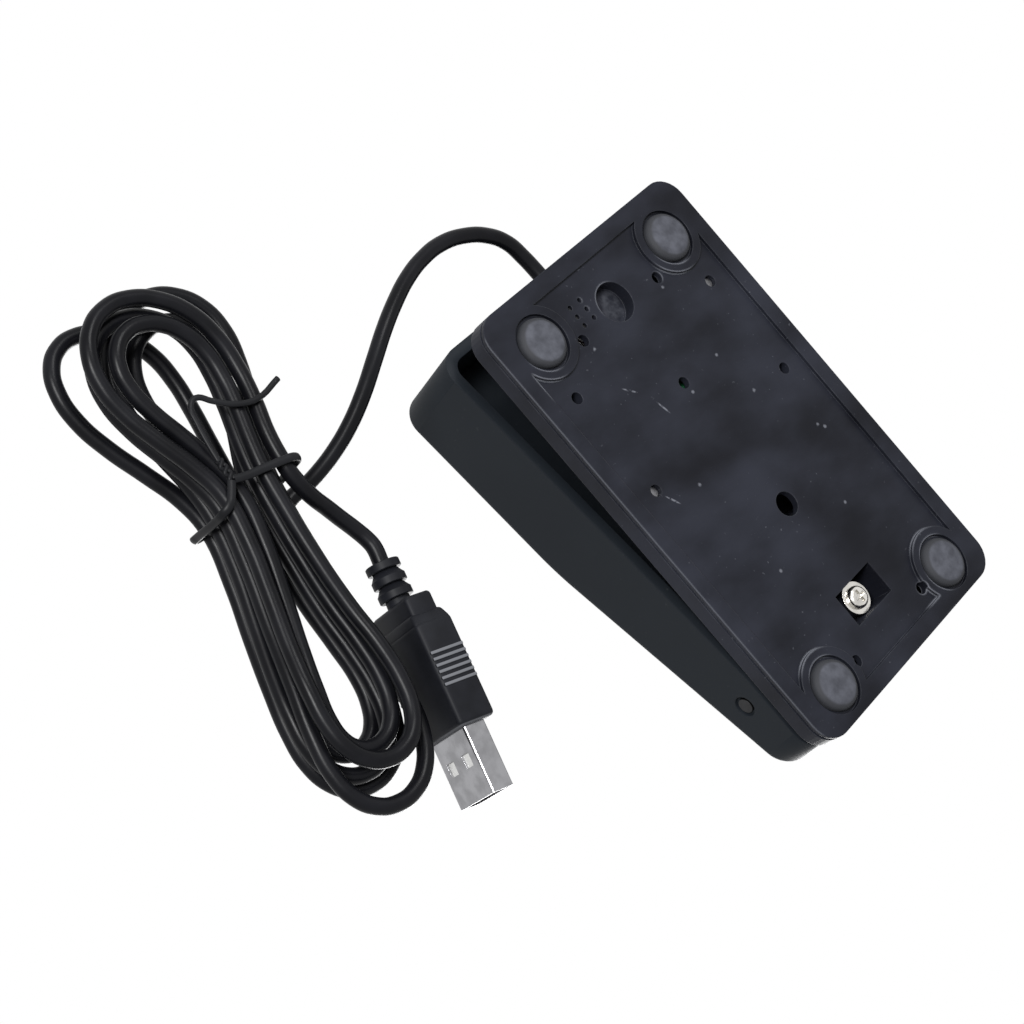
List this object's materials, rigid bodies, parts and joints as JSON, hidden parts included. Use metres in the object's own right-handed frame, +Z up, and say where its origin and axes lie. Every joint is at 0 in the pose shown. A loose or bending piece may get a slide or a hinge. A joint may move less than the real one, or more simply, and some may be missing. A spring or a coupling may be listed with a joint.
{
  "type": "usb foot pedal switch",
  "caption": "Wedge-shaped foot pedal hinged over a shallow base tray, closing a snap-action switch; its cord is tied in a hank and ends in a USB plug.",
  "frame": {"origin": "on the floor under the middle of the pedal and base", "axes": "+X across the pedal, +Y along it towards the end with the cord, +Z up from the floor"},
  "size_m": [0.1425, 0.1435, 0.0356],
  "materials": {
    "base_plastic": "fine satin texture, moulded",
    "pedal_plastic": "fine satin texture, moulded",
    "foot_rubber": "dusty matt",
    "pin_steel": "turned and blackened",
    "screw_nickel": "nickel plated",
    "board_laminate": "solder mask",
    "chip_black": "moulded",
    "can_metal": "drawn can",
    "capacitor_sleeve": "shrunk sleeve",
    "header_plastic": "moulded",
    "wire_sheath": "extruded",
    "switch_plastic": "moulded",
    "contact_brass": "stamped and plated",
    "plunger_plastic": "moulded",
    "spring_steel": "drawn wire",
    "cord_pvc": "extruded, slight sheen",
    "tie_pvc": "extruded over wire",
    "plug_plate": "rolled and nickel plated"
  },
  "bodies": {
    "base": {"base_tray": "base_plastic", "rubber_feet": "foot_rubber", "hinge_pin": "pin_steel", "lock_screw": "screw_nickel", "lock_washer": "screw_nickel", "circuit_board": "board_laminate", "controller_chip": "chip_black", "crystal": "can_metal", "capacitors": "capacitor_sleeve", "resistors": "chip_black", "cord_header": "header_plastic", "cord_wires": "wire_sheath", "board_screws": "screw_nickel", "switch_case": "switch_plastic", "switch_terminals": "contact_brass", "switch_screws": "screw_nickel", "switch_wires": "wire_sheath", "return_spring": "spring_steel", "cord_grommet": "cord_pvc", "cord_clamp": "base_plastic", "cord_lead": "cord_pvc", "cord_hank": "cord_pvc", "cord_tail": "cord_pvc", "twist_tie": "tie_pvc", "plug_grip": "cord_pvc", "plug_shell": "plug_plate", "plug_tongue": "header_plastic", "plug_contacts": "contact_brass"},
    "pedal": {"pedal_shell": "pedal_plastic"},
    "plunger": {"switch_plunger": "plunger_plastic"}
  },
  "joints": [
    {"name": "pedal_press", "type": "hinge", "parent": "base", "child": "pedal", "pos_m": [0, -0.0353, 0.0124], "axis": [-1, 0, 0], "range_deg": [0, 6], "stiffness_Nm_per_rad": 2.5, "springref_deg": -4.58, "deforming": ["return_spring"]},
    {"name": "plunger_travel", "type": "slide", "parent": "base", "child": "plunger", "axis": [0, 0, -1], "range_m": [0, 0.0015]}
  ],
  "couplings": [
    {"joint": "plunger_travel", "follows": "pedal_press", "m_per_rad": 0.0135}
  ]
}
